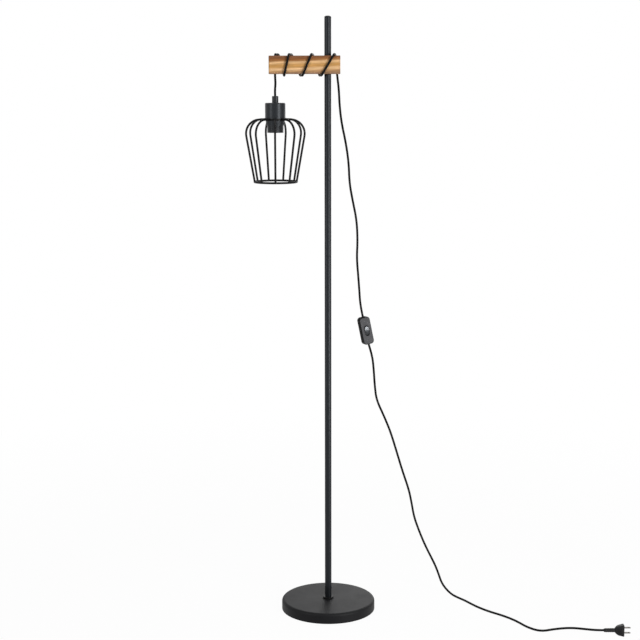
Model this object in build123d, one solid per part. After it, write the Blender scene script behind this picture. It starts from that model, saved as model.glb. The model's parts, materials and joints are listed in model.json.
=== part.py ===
from build123d import *
import math
import os

# Floor lamp with a wooden beam and a hanging wire cage, in millimetres.
# The origin is on the floor, on the pole's axis. +Z is up, -Y is the front.
# The beam's long end and the lamp head are on -X, the free cord is on +X.

# Base
BASE_RADIUS = 116.0
BASE_HEIGHT = 25.4
BASE_RIM_ROUND = 6.5
COVER_WALL = 1.2
COVER_LIFT = 0.3
PAD_THICKNESS = 2.0
PAD_INSET = 6.0
WEIGHT_GAP = 0.5
NUT_RECESS_RADIUS = 20.0
NUT_RECESS_DEPTH = 11.0
FOOT_WASHER_RADIUS = 15.0
FOOT_WASHER_THICKNESS = 1.6
FOOT_NUT_FLATS = 17.0
FOOT_NUT_HEIGHT = 7.0
FOOT_COLLAR_RADIUS = 13.0
FOOT_COLLAR_HEIGHT = 4.0
FOOT_COLLAR_ROUND = 1.2

# Pole
POLE_RADIUS = 8.2
POLE_WALL = 1.2
POLE_LENGTH = 1297.1
POLE_NAMES = ("pole_lower", "pole_middle", "pole_upper")
TOP_TUBE_LENGTH = 88.0
CAP_DOME_HEIGHT = 4.0
CAP_PLUG_LENGTH = 9.0
INSERT_LENGTH = 14.0
STUD_RADIUS = 5.0
STUD_END_GAP = 1.0
STUD_CHAMFER = 0.8
WASHER_THICKNESS = 1.0

# Beam
BEAM_SIDE = 43.0
BEAM_LONG_END = 139.5
BEAM_SHORT_END = 29.5
BEAM_EDGE_ROUND = 2.5
BEAM_END_ROUND = 1.5
BUSH_RADIUS = 7.0
BUSH_END_GAP = 0.3
PENDANT_INSET = 14.5
CORD_HOLE_RADIUS = 3.5
CORD_HOLE_RIM_ROUND = 3.5
CORD_HOLE_FOOT_CHAMFER = 1.0

# Fits
THREAD_GAP = 0.1
PRESS_GAP = 0.05
SLIP_GAP = 0.2
TURN_GAP = 0.1
PIVOT_GAP = 0.3

# Cord
CORD_RADIUS = 2.7
CORD_LIFT = 0.2
CORD_ARC_SHARE = 0.45
WINDING_RADIUS = 5.0
HOLE_BEND_RADIUS = 6.0
LEAST_WINDING_GAP = 0.4
WINDING_STEP = 2.0
WINDING_SKIP = 20.0
FLOOR_GAP = 0.1

# Lamp head
PENDANT_DROP = 51.3
GRIP_RADIUS = 7.7
GRIP_HEIGHT = 16.0
GRIP_CHAMFER = 0.8
GRIP_MOUTH_DEPTH = 3.0
GRIP_THREAD_DEPTH = 6.0
CUP_RADIUS = 24.5
CUP_HEIGHT = 36.8
CUP_WALL = 1.0
CUP_TOP_ROUND = 2.5
NIPPLE_BORE = 2.8
HEAD_NUT_FLATS = 14.0
HEAD_NUT_HEIGHT = 4.0
HOLDER_CAP_RADIUS = 19.0
HOLDER_CAP_WALL = 2.0
HOLDER_CAP_TOP = 4.0
HOLDER_FLANGE_RADIUS = 23.2
HOLDER_FLANGE_HEIGHT = 3.0
HOLDER_FLOOR = 3.0
HOLDER_CHAMBER_RADIUS = 15.0
SKIRT_RADIUS = 19.5
SKIRT_DROP = 28.5
SKIRT_MOUTH_RADIUS = 16.5
SHELL_RADIUS = 13.3
SHELL_WALL = 1.1
SHELL_LENGTH = 20.0
CONTACT_RADIUS = 5.0
CONTACT_THICKNESS = 1.0
CONTACT_STAND = 0.5
CONTACT_POCKET_DEPTH = 4.0
CONTACT_POCKET_RADIUS = 7.0
CONTACT_STEM_RADIUS = 1.5
TERMINAL_OFFSET = 9.0
TERMINAL_SIDE = 6.0
TERMINAL_HEIGHT = 5.0
TERMINAL_SCREW_RADIUS = 2.0
TERMINAL_SCREW_HEIGHT = 1.5
LEAD_LENGTH = 40.0
SHADE_RING_HEIGHT = 11.4
SHADE_RING_TOP_RADIUS = 23.0
SHADE_RING_FOOT_RADIUS = 21.0

# Cage
WIRE_RADIUS = 2.55
WIRE_COUNT = 9
FIRST_WIRE_ANGLE = -89.0
WIRE_RISE = 1.1
COLLAR_RADIUS = 24.5
CAGE_SHOULDER_RADIUS = 77.3
CAGE_SHOULDER_BEND = 33.0
CAGE_HEIGHT = 148.0
CAGE_RING_RADIUS = 50.7
WELD_GAP = 0.05

# In-line switch
SWITCH_CENTRE = (93.0, 46.0, 699.0)
SWITCH_LEAN = 11.5
SWITCH_TURN = 18.0
SWITCH_LENGTH = 68.5
SWITCH_WIDTH = 27.5
SWITCH_DEPTH = 20.0
SWITCH_CORNER = 8.0
SWITCH_EDGE_ROUND = 2.5
SWITCH_WALL = 1.8
SWITCH_CORD_SEAT = 6.0
SWITCH_CORD_LEAD = 33.0
ROCKER_WIDTH = 11.0
ROCKER_LENGTH = 24.0
ROCKER_STAND = 2.0
ROCKER_CROWN = 1.2
ROCKER_BODY = 5.0
ROCKER_TILT = 6.0
ROCKER_SIDE_GAP = 0.35
ROCKER_END_GAP = 1.0
PIVOT_DEPTH = 5.0
PIVOT_RADIUS = 1.2
PIVOT_HUB_RADIUS = 2.6
LUG_WIDTH = 3.0
LUG_HALF = 2.6
SWITCH_BOSS_RADIUS = 2.8
SWITCH_SCREW_X = 9.0
SWITCH_SCREW_Z = 23.0
SCREW_RADIUS = 1.4
SCREW_HEAD_RADIUS = 2.2
SCREW_HEAD_HEIGHT = 1.6
SCREW_END_GAP = 1.0
TERMINAL_BLOCK = 6.0
TERMINAL_BLOCK_Z = 17.0
LEAF_THICKNESS = 0.5
LEAF_WIDTH = 4.0

# Plug
PLUG_X = 656.0
PLUG_Y = -194.0
PLUG_WIDTH = 28.0
PLUG_DEPTH = 17.0
PLUG_LENGTH = 21.5
PLUG_NECK_WIDTH = 11.0
PLUG_WAIST_WIDTH = 25.0
PLUG_RIM_LENGTH = 7.0
PLUG_RIM_LIP = 2.0
PLUG_SHOULDER_WIDTH = 21.0
PLUG_EDGE_ROUND = 2.0
RELIEF_LENGTH = 26.0
RELIEF_START_RADIUS = 4.3
RELIEF_END_RADIUS = 4.8
RELIEF_RIB_HEIGHT = 0.4
RELIEF_RIB_LENGTH = 2.4
RELIEF_RIBS = 4
BLADE_SPACING = 12.7
BLADE_THICKNESS = 1.5
BLADE_WIDTH = 6.3
BLADE_LENGTH = 16.0
BLADE_ROOT = 9.0
BLADE_TIP_ROUND = 2.0

# Places worked out from the sizes above
CORD_DIAMETER = 2 * CORD_RADIUS
POLE_BORE = POLE_RADIUS - POLE_WALL
POLE_SECTION = POLE_LENGTH / len(POLE_NAMES)
POLE_TOP = BASE_HEIGHT + POLE_LENGTH
BEAM_BOTTOM = POLE_TOP + WASHER_THICKNESS
BEAM_MIDDLE = BEAM_BOTTOM + BEAM_SIDE / 2
BEAM_TOP = BEAM_BOTTOM + BEAM_SIDE
TOP_TUBE_FOOT = BEAM_TOP + WASHER_THICKNESS
TOP_TUBE_TOP = TOP_TUBE_FOOT + TOP_TUBE_LENGTH
PENDANT_X = PENDANT_INSET - BEAM_LONG_END
GRIP_TOP = BEAM_BOTTOM - PENDANT_DROP
CUP_TOP = GRIP_TOP - GRIP_HEIGHT
CUP_FOOT = CUP_TOP - CUP_HEIGHT
COLLAR_MIDDLE = CUP_FOOT - WIRE_RADIUS
COLLAR_FOOT = CUP_FOOT - 2 * WIRE_RADIUS
SKIRT_FOOT = COLLAR_FOOT - SKIRT_DROP
SHELL_TOP = CUP_FOOT - HOLDER_FLOOR - CONTACT_POCKET_DEPTH
FLANGE_TOP = CUP_FOOT + HOLDER_FLANGE_HEIGHT
HEAD_NUT_TOP = CUP_TOP - CUP_WALL
HOLDER_CAP_HEAD = HEAD_NUT_TOP - HEAD_NUT_HEIGHT
CAGE_FOOT = COLLAR_MIDDLE - CAGE_HEIGHT
LEAD_TOP = GRIP_TOP - CORD_RADIUS - PIVOT_GAP
SWITCH_HALF = SWITCH_LENGTH / 2
SWITCH_FRONT = SWITCH_DEPTH / 2
SWITCH_PLACE = Pos(*SWITCH_CENTRE) * Rot(0, -SWITCH_LEAN, 0) * Rot(0, 0, SWITCH_TURN)
PLUG_ENTRY = (PLUG_X, PLUG_Y, PLUG_WIDTH / 2)

# Where the winding meets the beam's four long edges in turn, from the cord hole to the free end.
# It starts at the back top edge and goes back bottom, front bottom, front top.
WINDING_X = [
    -117.0, -103.0, -100.5, -92.0,
    -85.5, -66.0, -59.0, -39.0,
    -35.5, -20.0, -14.5, 14.5,
    18.0,
]
WINDING_EXIT_X = 21.8

# Free cord from the beam to the switch, chosen points
UPPER_FIRST_RUN = 38.0
UPPER_ROUTE = [
    (27.5, 26.5, 1247.0),
    (34.0, 28.5, 1206.0),
    (43.0, 30.0, 1163.0),
    (49.5, 32.0, 1113.0),
    (53.0, 33.5, 1063.0),
    (60.5, 35.0, 1020.0),
    (69.5, 36.5, 973.0),
    (72.5, 38.0, 922.0),
    (71.5, 39.5, 880.0),
    (76.0, 41.5, 836.0),
    (78.0, 43.5, 799.0),
]

# Free cord from the switch to the floor and to the plug, chosen points
FLOOR_LINE = CORD_RADIUS + FLOOR_GAP
LOWER_ROUTE = [
    (113.5, 50.0, 600.0),
    (117.5, 57.0, 556.0),
    (123.5, 62.5, 520.0),
    (140.0, 66.5, 481.0),
    (158.0, 70.5, 437.0),
    (174.5, 75.0, 385.0),
    (190.5, 80.5, 331.0),
    (207.0, 85.0, 281.0),
    (215.0, 88.5, 243.0),
    (222.0, 91.0, 208.0),
    (237.0, 95.0, 166.0),
    (254.5, 99.0, 124.0),
    (277.0, 103.0, 78.0),
    (287.5, 105.5, 51.0),
    (296.0, 107.5, 27.0),
    (306.0, 101.0, 11.5),
    (317.5, 87.0, FLOOR_LINE),
    (329.0, 66.0, FLOOR_LINE),
    (347.0, 42.0, FLOOR_LINE),
    (372.0, 0.0, FLOOR_LINE),
    (400.0, -35.5, FLOOR_LINE),
    (431.0, -65.0, FLOOR_LINE),
    (458.0, -98.0, FLOOR_LINE),
    (482.0, -142.0, FLOOR_LINE),
    (510.0, -166.0, FLOOR_LINE),
    (545.0, -163.0, 5.0),
    (583.0, -166.0, 9.5),
    (617.0, -182.5, 12.5),
]
PLUG_CORD_LEAD = 17.0


def save(name, shape):
    export_step(shape, f"parts/{name}.step")


def upright(radius, low, high, x=0.0):
    return Pos(x, 0, low) * Cylinder(radius, high - low, align=(Align.CENTER, Align.CENTER, Align.MIN))


def ring(outer, inner, low, high, x=0.0):
    return upright(outer, low, high, x) - upright(inner, low, high, x)


def hex_nut(flats, bore, low, high, x=0.0):
    outline = RegularPolygon(flats / 2, 6, major_radius=False)
    return Pos(x, 0, low) * extrude(outline, high - low) - upright(bore, low, high, x)


def stud(low, high):
    rod = upright(STUD_RADIUS, low, high)
    return chamfer(rod.edges().filter_by(GeomType.CIRCLE), STUD_CHAMFER)


# Base

def make_base_cover():
    outer = upright(BASE_RADIUS, COVER_LIFT, BASE_HEIGHT)
    outer = fillet(outer.edges().group_by(Axis.Z)[-1], BASE_RIM_ROUND)
    inner = upright(BASE_RADIUS - COVER_WALL, COVER_LIFT, BASE_HEIGHT - COVER_WALL)
    inner = fillet(inner.edges().group_by(Axis.Z)[-1], BASE_RIM_ROUND - COVER_WALL)
    return outer - inner - upright(STUD_RADIUS + SLIP_GAP, COVER_LIFT, BASE_HEIGHT)


def make_base_weight():
    radius = BASE_RADIUS - COVER_WALL - WEIGHT_GAP
    top = BASE_HEIGHT - COVER_WALL
    disc = upright(radius, PAD_THICKNESS, top)
    disc = fillet(disc.edges().group_by(Axis.Z)[-1], BASE_RIM_ROUND - COVER_WALL)
    recess = upright(NUT_RECESS_RADIUS, PAD_THICKNESS, PAD_THICKNESS + NUT_RECESS_DEPTH)
    return disc - recess - upright(STUD_RADIUS + SLIP_GAP, PAD_THICKNESS, top)


def make_foot_fasteners():
    seat = PAD_THICKNESS + NUT_RECESS_DEPTH
    washer_foot = seat - FOOT_WASHER_THICKNESS
    nut_foot = washer_foot - FOOT_NUT_HEIGHT
    save("foot_washer", ring(FOOT_WASHER_RADIUS, STUD_RADIUS + SLIP_GAP, washer_foot, seat))
    save("foot_nut", hex_nut(FOOT_NUT_FLATS, STUD_RADIUS + THREAD_GAP, nut_foot, washer_foot))
    save("foot_stud", stud(nut_foot - STUD_END_GAP, BASE_HEIGHT + INSERT_LENGTH - STUD_END_GAP))


def make_foot_collar():
    top = BASE_HEIGHT + FOOT_COLLAR_HEIGHT
    disc = upright(FOOT_COLLAR_RADIUS, BASE_HEIGHT, top)
    disc = fillet(disc.edges().group_by(Axis.Z)[-1], FOOT_COLLAR_ROUND)
    return disc - upright(POLE_RADIUS + SLIP_GAP, BASE_HEIGHT, top)


def make_base():
    save("base_cover", make_base_cover())
    save("base_weight", make_base_weight())
    save("base_pad", upright(BASE_RADIUS - PAD_INSET, 0, PAD_THICKNESS))
    save("foot_collar", make_foot_collar())
    make_foot_fasteners()


# Pole

def section_foot(number):
    return BASE_HEIGHT + number * POLE_SECTION


def make_insert(low):
    return ring(POLE_BORE - PRESS_GAP, STUD_RADIUS + THREAD_GAP, low, low + INSERT_LENGTH)


def make_pole_cap():
    dome_radius = (POLE_RADIUS**2 + CAP_DOME_HEIGHT**2) / (2 * CAP_DOME_HEIGHT)
    ball = Pos(0, 0, TOP_TUBE_TOP + CAP_DOME_HEIGHT - dome_radius) * Sphere(dome_radius)
    dome = ball & upright(POLE_RADIUS, TOP_TUBE_TOP, TOP_TUBE_TOP + CAP_DOME_HEIGHT)
    return dome + upright(POLE_BORE - PRESS_GAP, TOP_TUBE_TOP - CAP_PLUG_LENGTH, TOP_TUBE_TOP)


def make_pole():
    inserts = []
    couplers = []
    for number, name in enumerate(POLE_NAMES):
        low = section_foot(number)
        high = section_foot(number + 1)
        save(name, ring(POLE_RADIUS, POLE_BORE, low, high))
        inserts.append(make_insert(low))
        inserts.append(make_insert(high - INSERT_LENGTH))
        if number > 0:
            couplers.append(stud(low - INSERT_LENGTH + STUD_END_GAP, low + INSERT_LENGTH - STUD_END_GAP))
    inserts.append(make_insert(TOP_TUBE_FOOT))
    save("tube_inserts", Compound(inserts))
    save("coupler_studs", Compound(couplers))
    stud_reach = INSERT_LENGTH - STUD_END_GAP
    save("beam_stud", stud(POLE_TOP - stud_reach, TOP_TUBE_FOOT + stud_reach))
    save("pole_top_tube", ring(POLE_RADIUS, POLE_BORE, TOP_TUBE_FOOT, TOP_TUBE_TOP))
    save("pole_cap", make_pole_cap())
    washer_bore = STUD_RADIUS + SLIP_GAP
    lower_washer = ring(POLE_RADIUS, washer_bore, POLE_TOP, BEAM_BOTTOM)
    upper_washer = ring(POLE_RADIUS, washer_bore, BEAM_TOP, TOP_TUBE_FOOT)
    save("friction_washers", Compound([lower_washer, upper_washer]))


# Beam

def cord_hole_rims(beam):
    circles = beam.edges().filter_by(GeomType.CIRCLE).sort_by(Axis.Z)
    return [rim for rim in circles if abs(rim.center(CenterOf.BOUNDING_BOX).X - PENDANT_X) < CORD_HOLE_RADIUS]


def make_beam():
    length = BEAM_LONG_END + BEAM_SHORT_END
    middle = (BEAM_SHORT_END - BEAM_LONG_END) / 2
    beam = Pos(middle, 0, BEAM_MIDDLE) * Box(length, BEAM_SIDE, BEAM_SIDE)
    beam = fillet(beam.edges().filter_by(Axis.X), BEAM_EDGE_ROUND)
    beam = fillet(beam.faces().filter_by(Axis.X).edges(), BEAM_END_ROUND)
    beam = beam - upright(BUSH_RADIUS + PRESS_GAP, BEAM_BOTTOM, BEAM_TOP)
    beam = beam - upright(CORD_HOLE_RADIUS, BEAM_BOTTOM, BEAM_TOP, PENDANT_X)
    beam = fillet(cord_hole_rims(beam)[-1], CORD_HOLE_RIM_ROUND)
    return chamfer(cord_hole_rims(beam)[0], CORD_HOLE_FOOT_CHAMFER)


def make_beam_bush():
    low = BEAM_BOTTOM + BUSH_END_GAP
    return ring(BUSH_RADIUS, STUD_RADIUS + TURN_GAP, low, BEAM_TOP - BUSH_END_GAP)


# Cord

def turn_angle(before, corner, after):
    return (Vector(corner) - Vector(before)).get_angle(Vector(after) - Vector(corner))


def route_radii(points):
    radii = []
    for before, corner, after in zip(points, points[1:], points[2:]):
        runs = [(Vector(corner) - Vector(before)).length, (Vector(after) - Vector(corner)).length]
        half_turn = math.radians(turn_angle(before, corner, after) / 2)
        radii.append(CORD_ARC_SHARE * min(runs) / math.tan(half_turn))
    return radii


def cord_tube(name, points, radii):
    path = FilletPolyline(*points, radius=radii)
    section = Plane(origin=path @ 0, z_dir=path % 0) * Circle(CORD_RADIUS)
    tube = sweep(section, path=path)
    wanted = math.pi * CORD_RADIUS**2 * path.length
    print(f"{name}: length {path.length:.1f}, least arc radius {min(radii):.1f}")
    print(f"{name}: arc radii {[round(radius, 1) for radius in radii]}")
    print(f"{name}: volume {tube.volume:.1f}, section times length {wanted:.1f}")
    save(name, tube)
    return path


def winding_points():
    out = BEAM_SIDE / 2 + CORD_LIFT + CORD_RADIUS
    corners = [(out, out), (out, -out), (-out, -out), (-out, out)]
    start = BEAM_BOTTOM + CORD_RADIUS + PIVOT_GAP
    points = [(PENDANT_X, 0.0, start), (PENDANT_X, 0.0, BEAM_MIDDLE + out)]
    for count, x in enumerate(WINDING_X):
        y, z = corners[count % len(corners)]
        points.append((x, y, BEAM_MIDDLE + z))
    points.append((WINDING_EXIT_X, out, BEAM_BOTTOM))
    return points


def least_gap_to_itself(path):
    steps = int(path.length / WINDING_STEP)
    spots = [path @ (step / steps) for step in range(steps + 1)]
    apart = int(WINDING_SKIP / WINDING_STEP)
    gaps = [(spots[a] - spots[b]).length for a in range(steps + 1) for b in range(a + apart, steps + 1)]
    return min(gaps) - CORD_DIAMETER


def on_switch_axis(height):
    return (SWITCH_PLACE * Pos(0, 0, height)).position


def make_cords():
    winding = winding_points()
    winding_radii = [HOLE_BEND_RADIUS] + [WINDING_RADIUS] * len(WINDING_X)
    path = cord_tube("cord_winding", winding, winding_radii)
    gap = least_gap_to_itself(path)
    print(f"cord_winding: least gap to itself {gap:.2f}, wanted over {LEAST_WINDING_GAP}")

    leave = Vector(winding[-1])
    heading = (leave - Vector(winding[-2])).normalized()
    upper = [leave, leave + heading * UPPER_FIRST_RUN] + [Vector(point) for point in UPPER_ROUTE]
    upper.append(on_switch_axis(SWITCH_HALF + SWITCH_CORD_LEAD))
    upper.append(on_switch_axis(SWITCH_HALF - SWITCH_CORD_SEAT))
    cord_tube("cord_upper", upper, route_radii(upper))

    entry = Vector(PLUG_ENTRY)
    lower = [on_switch_axis(SWITCH_CORD_SEAT - SWITCH_HALF), on_switch_axis(-SWITCH_HALF - SWITCH_CORD_LEAD)]
    lower += [Vector(point) for point in LOWER_ROUTE]
    lower += [entry - Vector(PLUG_CORD_LEAD, 0, 0), entry]
    cord_tube("cord_lower", lower, route_radii(lower))


def make_pendant_cord():
    rod = upright(CORD_RADIUS, GRIP_TOP, BEAM_BOTTOM, PENDANT_X)
    upper_end = Pos(PENDANT_X, 0, BEAM_BOTTOM) * Sphere(CORD_RADIUS)
    lower_end = Pos(PENDANT_X, 0, GRIP_TOP) * Sphere(CORD_RADIUS)
    return rod + upper_end + lower_end


# Lamp head

def make_cord_grip():
    grip = upright(GRIP_RADIUS, CUP_TOP, GRIP_TOP, PENDANT_X)
    grip = chamfer(grip.edges().group_by(Axis.Z)[-1], GRIP_CHAMFER)
    mouth = upright(CORD_HOLE_RADIUS, GRIP_TOP - GRIP_MOUTH_DEPTH, GRIP_TOP, PENDANT_X)
    throat = upright(CORD_RADIUS + SLIP_GAP, CUP_TOP, GRIP_TOP, PENDANT_X)
    thread = upright(STUD_RADIUS + THREAD_GAP, CUP_TOP, CUP_TOP + GRIP_THREAD_DEPTH, PENDANT_X)
    return grip - mouth - throat - thread


def make_socket_cup():
    cup = upright(CUP_RADIUS, CUP_FOOT, CUP_TOP, PENDANT_X)
    cup = fillet(cup.edges().group_by(Axis.Z)[-1], CUP_TOP_ROUND)
    inside = upright(CUP_RADIUS - CUP_WALL, CUP_FOOT, HEAD_NUT_TOP, PENDANT_X)
    inside = fillet(inside.edges().group_by(Axis.Z)[-1], CUP_TOP_ROUND - CUP_WALL)
    return cup - inside - upright(STUD_RADIUS + THREAD_GAP, CUP_FOOT, CUP_TOP, PENDANT_X)


def make_lampholder_cap():
    inner_top = HOLDER_CAP_HEAD - HOLDER_CAP_TOP
    cap = upright(HOLDER_CAP_RADIUS, FLANGE_TOP, HOLDER_CAP_HEAD, PENDANT_X)
    cap = cap - upright(HOLDER_CAP_RADIUS - HOLDER_CAP_WALL, FLANGE_TOP, inner_top, PENDANT_X)
    return cap - upright(STUD_RADIUS + THREAD_GAP, inner_top, HOLDER_CAP_HEAD, PENDANT_X)


def make_lampholder_body():
    body = upright(SKIRT_RADIUS, SKIRT_FOOT, CUP_FOOT, PENDANT_X)
    body = body + upright(HOLDER_FLANGE_RADIUS, CUP_FOOT, FLANGE_TOP, PENDANT_X)
    body = body - upright(HOLDER_CHAMBER_RADIUS, CUP_FOOT, FLANGE_TOP, PENDANT_X)
    shell_seat = SHELL_RADIUS + SHELL_WALL + SLIP_GAP
    body = body - upright(shell_seat, SKIRT_FOOT, SHELL_TOP, PENDANT_X)
    body = body - upright(SKIRT_MOUTH_RADIUS, SKIRT_FOOT, SHELL_TOP - SHELL_LENGTH, PENDANT_X)
    body = body - upright(CONTACT_POCKET_RADIUS, SHELL_TOP, CUP_FOOT - HOLDER_FLOOR, PENDANT_X)
    return body - upright(CONTACT_STEM_RADIUS + THREAD_GAP, SHELL_TOP, CUP_FOOT, PENDANT_X)


def make_centre_contact():
    low = SHELL_TOP + CONTACT_STAND
    disc = upright(CONTACT_RADIUS, low, low + CONTACT_THICKNESS, PENDANT_X)
    return disc + upright(CONTACT_STEM_RADIUS, low, CUP_FOOT + CONTACT_THICKNESS, PENDANT_X)


def make_lampholder_terminals():
    terminals = []
    for side in (-1, 1):
        x = PENDANT_X + side * TERMINAL_OFFSET
        seat = (Align.CENTER, Align.CENTER, Align.MIN)
        block = Pos(x, 0, CUP_FOOT) * Box(TERMINAL_SIDE, TERMINAL_SIDE, TERMINAL_HEIGHT, align=seat)
        top = CUP_FOOT + TERMINAL_HEIGHT
        terminals.append(block + upright(TERMINAL_SCREW_RADIUS, top, top + TERMINAL_SCREW_HEIGHT, x))
    return Compound(terminals)


def make_shade_ring():
    taper = Cone(SHADE_RING_FOOT_RADIUS, SHADE_RING_TOP_RADIUS, SHADE_RING_HEIGHT,
                 align=(Align.CENTER, Align.CENTER, Align.MAX))
    bore = upright(SKIRT_RADIUS + SLIP_GAP, COLLAR_FOOT - SHADE_RING_HEIGHT, COLLAR_FOOT, PENDANT_X)
    return Pos(PENDANT_X, 0, COLLAR_FOOT) * taper - bore


def make_cage():
    collar = ring(COLLAR_RADIUS, SKIRT_RADIUS + SLIP_GAP, COLLAR_FOOT, CUP_FOOT, PENDANT_X)
    bottom = Torus(CAGE_RING_RADIUS, WIRE_RADIUS)
    path = FilletPolyline(
        (COLLAR_RADIUS + WELD_GAP, 0, CAGE_HEIGHT),
        (CAGE_SHOULDER_RADIUS, 0, CAGE_HEIGHT + WIRE_RISE),
        (CAGE_RING_RADIUS, 0, 0),
        radius=CAGE_SHOULDER_BEND,
    )
    section = Plane(origin=path @ 0, z_dir=path % 0) * Circle(WIRE_RADIUS)
    wire = sweep(section, path=path) - Torus(CAGE_RING_RADIUS, WIRE_RADIUS + WELD_GAP)
    place = Pos(PENDANT_X, 0, CAGE_FOOT)
    save("cage_collar", collar)
    save("cage_bottom_ring", place * bottom)
    for number in range(WIRE_COUNT):
        angle = FIRST_WIRE_ANGLE + number * 360 / WIRE_COUNT
        save(f"cage_wire_{number + 1}", place * Rot(0, 0, angle) * wire)


def make_head():
    save("cord_grip", make_cord_grip())
    save("socket_cup", make_socket_cup())
    nipple_foot = HOLDER_CAP_HEAD - HOLDER_CAP_TOP
    nipple_top = CUP_TOP + GRIP_THREAD_DEPTH - STUD_END_GAP
    save("head_nipple", ring(STUD_RADIUS, NIPPLE_BORE, nipple_foot, nipple_top, PENDANT_X))
    thread_bore = STUD_RADIUS + THREAD_GAP
    save("head_nut", hex_nut(HEAD_NUT_FLATS, thread_bore, HOLDER_CAP_HEAD, HEAD_NUT_TOP, PENDANT_X))
    save("head_lead", upright(CORD_RADIUS, LEAD_TOP - LEAD_LENGTH, LEAD_TOP, PENDANT_X))
    save("lampholder_cap", make_lampholder_cap())
    save("lampholder_body", make_lampholder_body())
    shell_outer = SHELL_RADIUS + SHELL_WALL
    save("screw_shell", ring(shell_outer, SHELL_RADIUS, SHELL_TOP - SHELL_LENGTH, SHELL_TOP, PENDANT_X))
    save("centre_contact", make_centre_contact())
    save("lampholder_terminals", make_lampholder_terminals())
    save("shade_ring", make_shade_ring())
    make_cage()


# In-line switch, made upright about its own middle with its face to -Y

def across(radius, length, x, y, z):
    return Pos(x, y, z) * Rot(0, 90, 0) * Cylinder(radius, length)


def deep(radius, front, back, x, z):
    return Pos(x, (front + back) / 2, z) * Rot(90, 0, 0) * Cylinder(radius, back - front)


def switch_block(inset, front, back):
    face = Rot(90, 0, 0) * RectangleRounded(
        SWITCH_WIDTH - 2 * inset, SWITCH_LENGTH - 2 * inset, SWITCH_CORNER - inset)
    return Pos(0, back, 0) * extrude(face, back - front)


def screw_places():
    return [(SWITCH_SCREW_X, SWITCH_SCREW_Z), (-SWITCH_SCREW_X, -SWITCH_SCREW_Z)]


def rocker_opening():
    slot = Rot(90, 0, 0) * Rot(0, 0, 90) * SlotOverall(
        ROCKER_LENGTH + 2 * ROCKER_END_GAP, ROCKER_WIDTH + 2 * ROCKER_SIDE_GAP)
    return extrude(slot, SWITCH_FRONT)


def make_front_shell():
    shell = switch_block(0, -SWITCH_FRONT, 0)
    shell = fillet(shell.faces().sort_by(Axis.Y)[0].edges(), SWITCH_EDGE_ROUND)
    shell = shell - switch_block(SWITCH_WALL, SWITCH_WALL - SWITCH_FRONT, 0)
    shell = shell - rocker_opening()
    inside = SWITCH_WALL - SWITCH_FRONT
    lug_x = ROCKER_WIDTH / 2 + ROCKER_SIDE_GAP + LUG_WIDTH / 2
    for side in (-1, 1):
        lug_depth = SWITCH_FRONT - SWITCH_WALL - PIVOT_DEPTH + LUG_HALF
        lug = Pos(side * lug_x, inside + lug_depth / 2, 0) * Box(LUG_WIDTH, lug_depth, 2 * LUG_HALF)
        shell = shell + lug - across(PIVOT_RADIUS + PRESS_GAP, LUG_WIDTH, side * lug_x, -PIVOT_DEPTH, 0)
    for x, z in screw_places():
        shell = shell + deep(SWITCH_BOSS_RADIUS, inside, 0, x, z)
        shell = shell - deep(SCREW_RADIUS + PRESS_GAP, inside, 0, x, z)
    return shell - cord_holes()


def make_back_shell():
    shell = switch_block(0, 0, SWITCH_FRONT)
    shell = fillet(shell.faces().sort_by(Axis.Y)[-1].edges(), SWITCH_EDGE_ROUND)
    inside = SWITCH_FRONT - SWITCH_WALL
    shell = shell - switch_block(SWITCH_WALL, 0, inside)
    for x, z in screw_places():
        shell = shell + deep(SWITCH_BOSS_RADIUS, 0, inside, x, z)
        shell = shell - deep(SCREW_RADIUS + SLIP_GAP, 0, SWITCH_FRONT, x, z)
        head_seat = SWITCH_FRONT - SCREW_HEAD_HEIGHT
        shell = shell - deep(SCREW_HEAD_RADIUS + SLIP_GAP, head_seat, SWITCH_FRONT, x, z)
    return shell - cord_holes()


def cord_holes():
    hole = Cylinder(CORD_RADIUS + THREAD_GAP, SWITCH_LENGTH)
    middle = Cylinder(CORD_RADIUS + THREAD_GAP, SWITCH_LENGTH - 2 * SWITCH_CORD_SEAT)
    return hole - middle


def make_rocker():
    half = ROCKER_LENGTH / 2
    crest = -SWITCH_FRONT - ROCKER_STAND
    end = crest + ROCKER_CROWN
    foot = crest + ROCKER_BODY
    crown = ThreePointArc((0, end, half), (0, crest, 0), (0, end, -half))
    sides = Polyline((0, end, -half), (0, foot, -half), (0, foot, half), (0, end, half))
    plate = extrude(make_face(crown + sides), ROCKER_WIDTH / 2, dir=(1, 0, 0), both=True)
    mask = Rot(90, 0, 0) * Rot(0, 0, 90) * SlotOverall(ROCKER_LENGTH, ROCKER_WIDTH)
    plate = plate & extrude(mask, SWITCH_DEPTH)
    hub = across(PIVOT_HUB_RADIUS, ROCKER_WIDTH, 0, -PIVOT_DEPTH, 0)
    rocker = plate + hub - across(PIVOT_RADIUS + TURN_GAP, ROCKER_WIDTH, 0, -PIVOT_DEPTH, 0)
    pivot = Pos(0, -PIVOT_DEPTH, 0)
    return pivot * Rot(ROCKER_TILT, 0, 0) * pivot.inverse() * rocker


def make_switch_pivot():
    reach = ROCKER_WIDTH + 2 * ROCKER_SIDE_GAP + 2 * LUG_WIDTH
    return across(PIVOT_RADIUS, reach, 0, -PIVOT_DEPTH, 0)


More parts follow.
